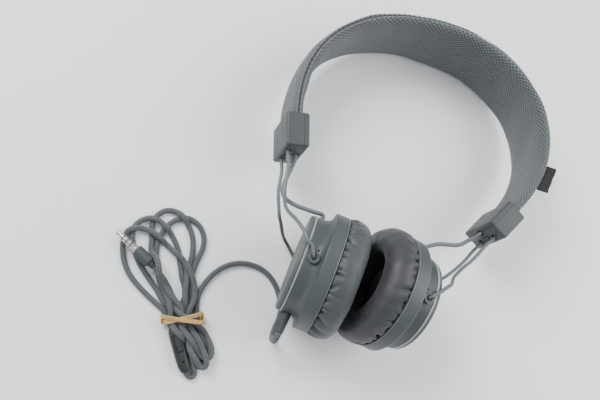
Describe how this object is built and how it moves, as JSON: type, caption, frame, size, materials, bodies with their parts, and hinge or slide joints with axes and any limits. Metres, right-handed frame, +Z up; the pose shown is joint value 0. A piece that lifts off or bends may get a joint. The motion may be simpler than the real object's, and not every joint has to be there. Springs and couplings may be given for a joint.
{
  "type": "wired on-ear headphones",
  "caption": "On-ear headphones with knit-covered headband, wire yokes sliding in end blocks, round padded cups and a fabric cord with in-line remote.",
  "frame": {"origin": "on the surface the headphones lie on, under the middle of the box round the headband and cups (cord pieces left out)", "axes": "+Y from the ear cups to the top of the headband, +X from the left cup to the right cup, +Z up from the surface, across the headband's width"},
  "size_m": [0.2171, 0.222, 0.0635],
  "materials": {
    "band": "natural beige elastic band",
    "block": "fine-grained moulded plastic, grey-green",
    "cap": "outer cup cap, grey",
    "cloth": "black acoustic cloth",
    "cord": "braided fabric sleeve over copper cord, matt",
    "cup": "moulded ear cup, dark slate grey, fine grain",
    "cushion": "soft slate grey leatherette over foam, light creases",
    "gold": "polished nickel plug pin with dark insulating rings",
    "inner": "black moulded baffle and driver housing",
    "knit": "grey heather knitted mesh, matt",
    "lead": "grey sheathed lead, satin",
    "remote": "dark grey-green moulded capsule",
    "rubber": "soft moulded grey sleeve",
    "screw": "small machine screws, satin",
    "seam": "stitched edge piping, matt",
    "slider": "moulded friction clip",
    "spring": "flat spring steel strip, satin",
    "tag": "folded black woven tape, matt, blank",
    "trim": "thin pale accent ring",
    "wire": "bent steel wire, smooth satin grey coating"
  },
  "bodies": {
    "headband": {"band_sleeve": "knit", "band_spring": "spring", "band_edge_seam": "seam", "fabric_tag": "tag", "left_block_shell": "block", "left_block_cover": "block", "left_screw_upper": "screw", "left_screw_lower": "screw", "right_block_shell": "block", "right_block_cover": "block", "right_screw_upper": "screw", "right_screw_lower": "screw"},
    "left_yoke": {"left_yoke_wire": "wire", "left_yoke_clip": "slider", "left_audio_lead": "lead"},
    "right_yoke": {"right_yoke_wire": "wire", "right_yoke_clip": "slider", "right_audio_lead": "lead"},
    "left_cup": {"left_cup_shell": "cup", "left_trim_ring": "trim", "left_cup_cap": "cap", "left_baffle": "inner", "left_driver": "inner", "left_speaker_cloth": "cloth", "left_cushion": "cushion", "left_pivot_boss_front": "cup", "left_pivot_boss_back": "cup", "strain_relief": "rubber", "cord": "cord", "cord_hank": "cord", "remote_lower_shell": "remote", "remote_upper_shell": "remote", "plug_body": "rubber", "plug_pin": "gold", "rubber_band": "band"},
    "right_cup": {"right_cup_shell": "cup", "right_trim_ring": "trim", "right_cup_cap": "cap", "right_baffle": "inner", "right_driver": "inner", "right_speaker_cloth": "cloth", "right_cushion": "cushion", "right_pivot_boss_front": "cup", "right_pivot_boss_back": "cup"},
    "remote_button": {"remote_button": "remote"}
  },
  "joints": [
    {"name": "left_slide", "type": "slide", "parent": "headband", "child": "left_yoke", "axis": [-0.2778, 0.9575, -0.0775], "range_m": [0, 0.007], "deforming": ["left_audio_lead"]},
    {"name": "right_slide", "type": "slide", "parent": "headband", "child": "right_yoke", "axis": [0.5904, 0.8045, -0.0651], "range_m": [0, 0.007], "deforming": ["right_audio_lead"]},
    {"name": "left_tilt", "type": "hinge", "parent": "left_yoke", "child": "left_cup", "pos_m": [-0.04405, -0.05945, 0.02991], "axis": [-0.1407, 0.0144, 0.99], "range_deg": [-5, 5], "deforming": ["left_audio_lead"]},
    {"name": "right_tilt", "type": "hinge", "parent": "right_yoke", "child": "right_cup", "pos_m": [0.00883, -0.06047, 0.02993], "axis": [0.1464, -0.019, 0.989], "range_deg": [-5, 5], "deforming": ["right_audio_lead"]},
    {"name": "remote_press", "type": "slide", "parent": "left_cup", "child": "remote_button", "axis": [0, 0, -1], "range_m": [0, 0.0004], "stiffness_N_per_m": 400}
  ]
}
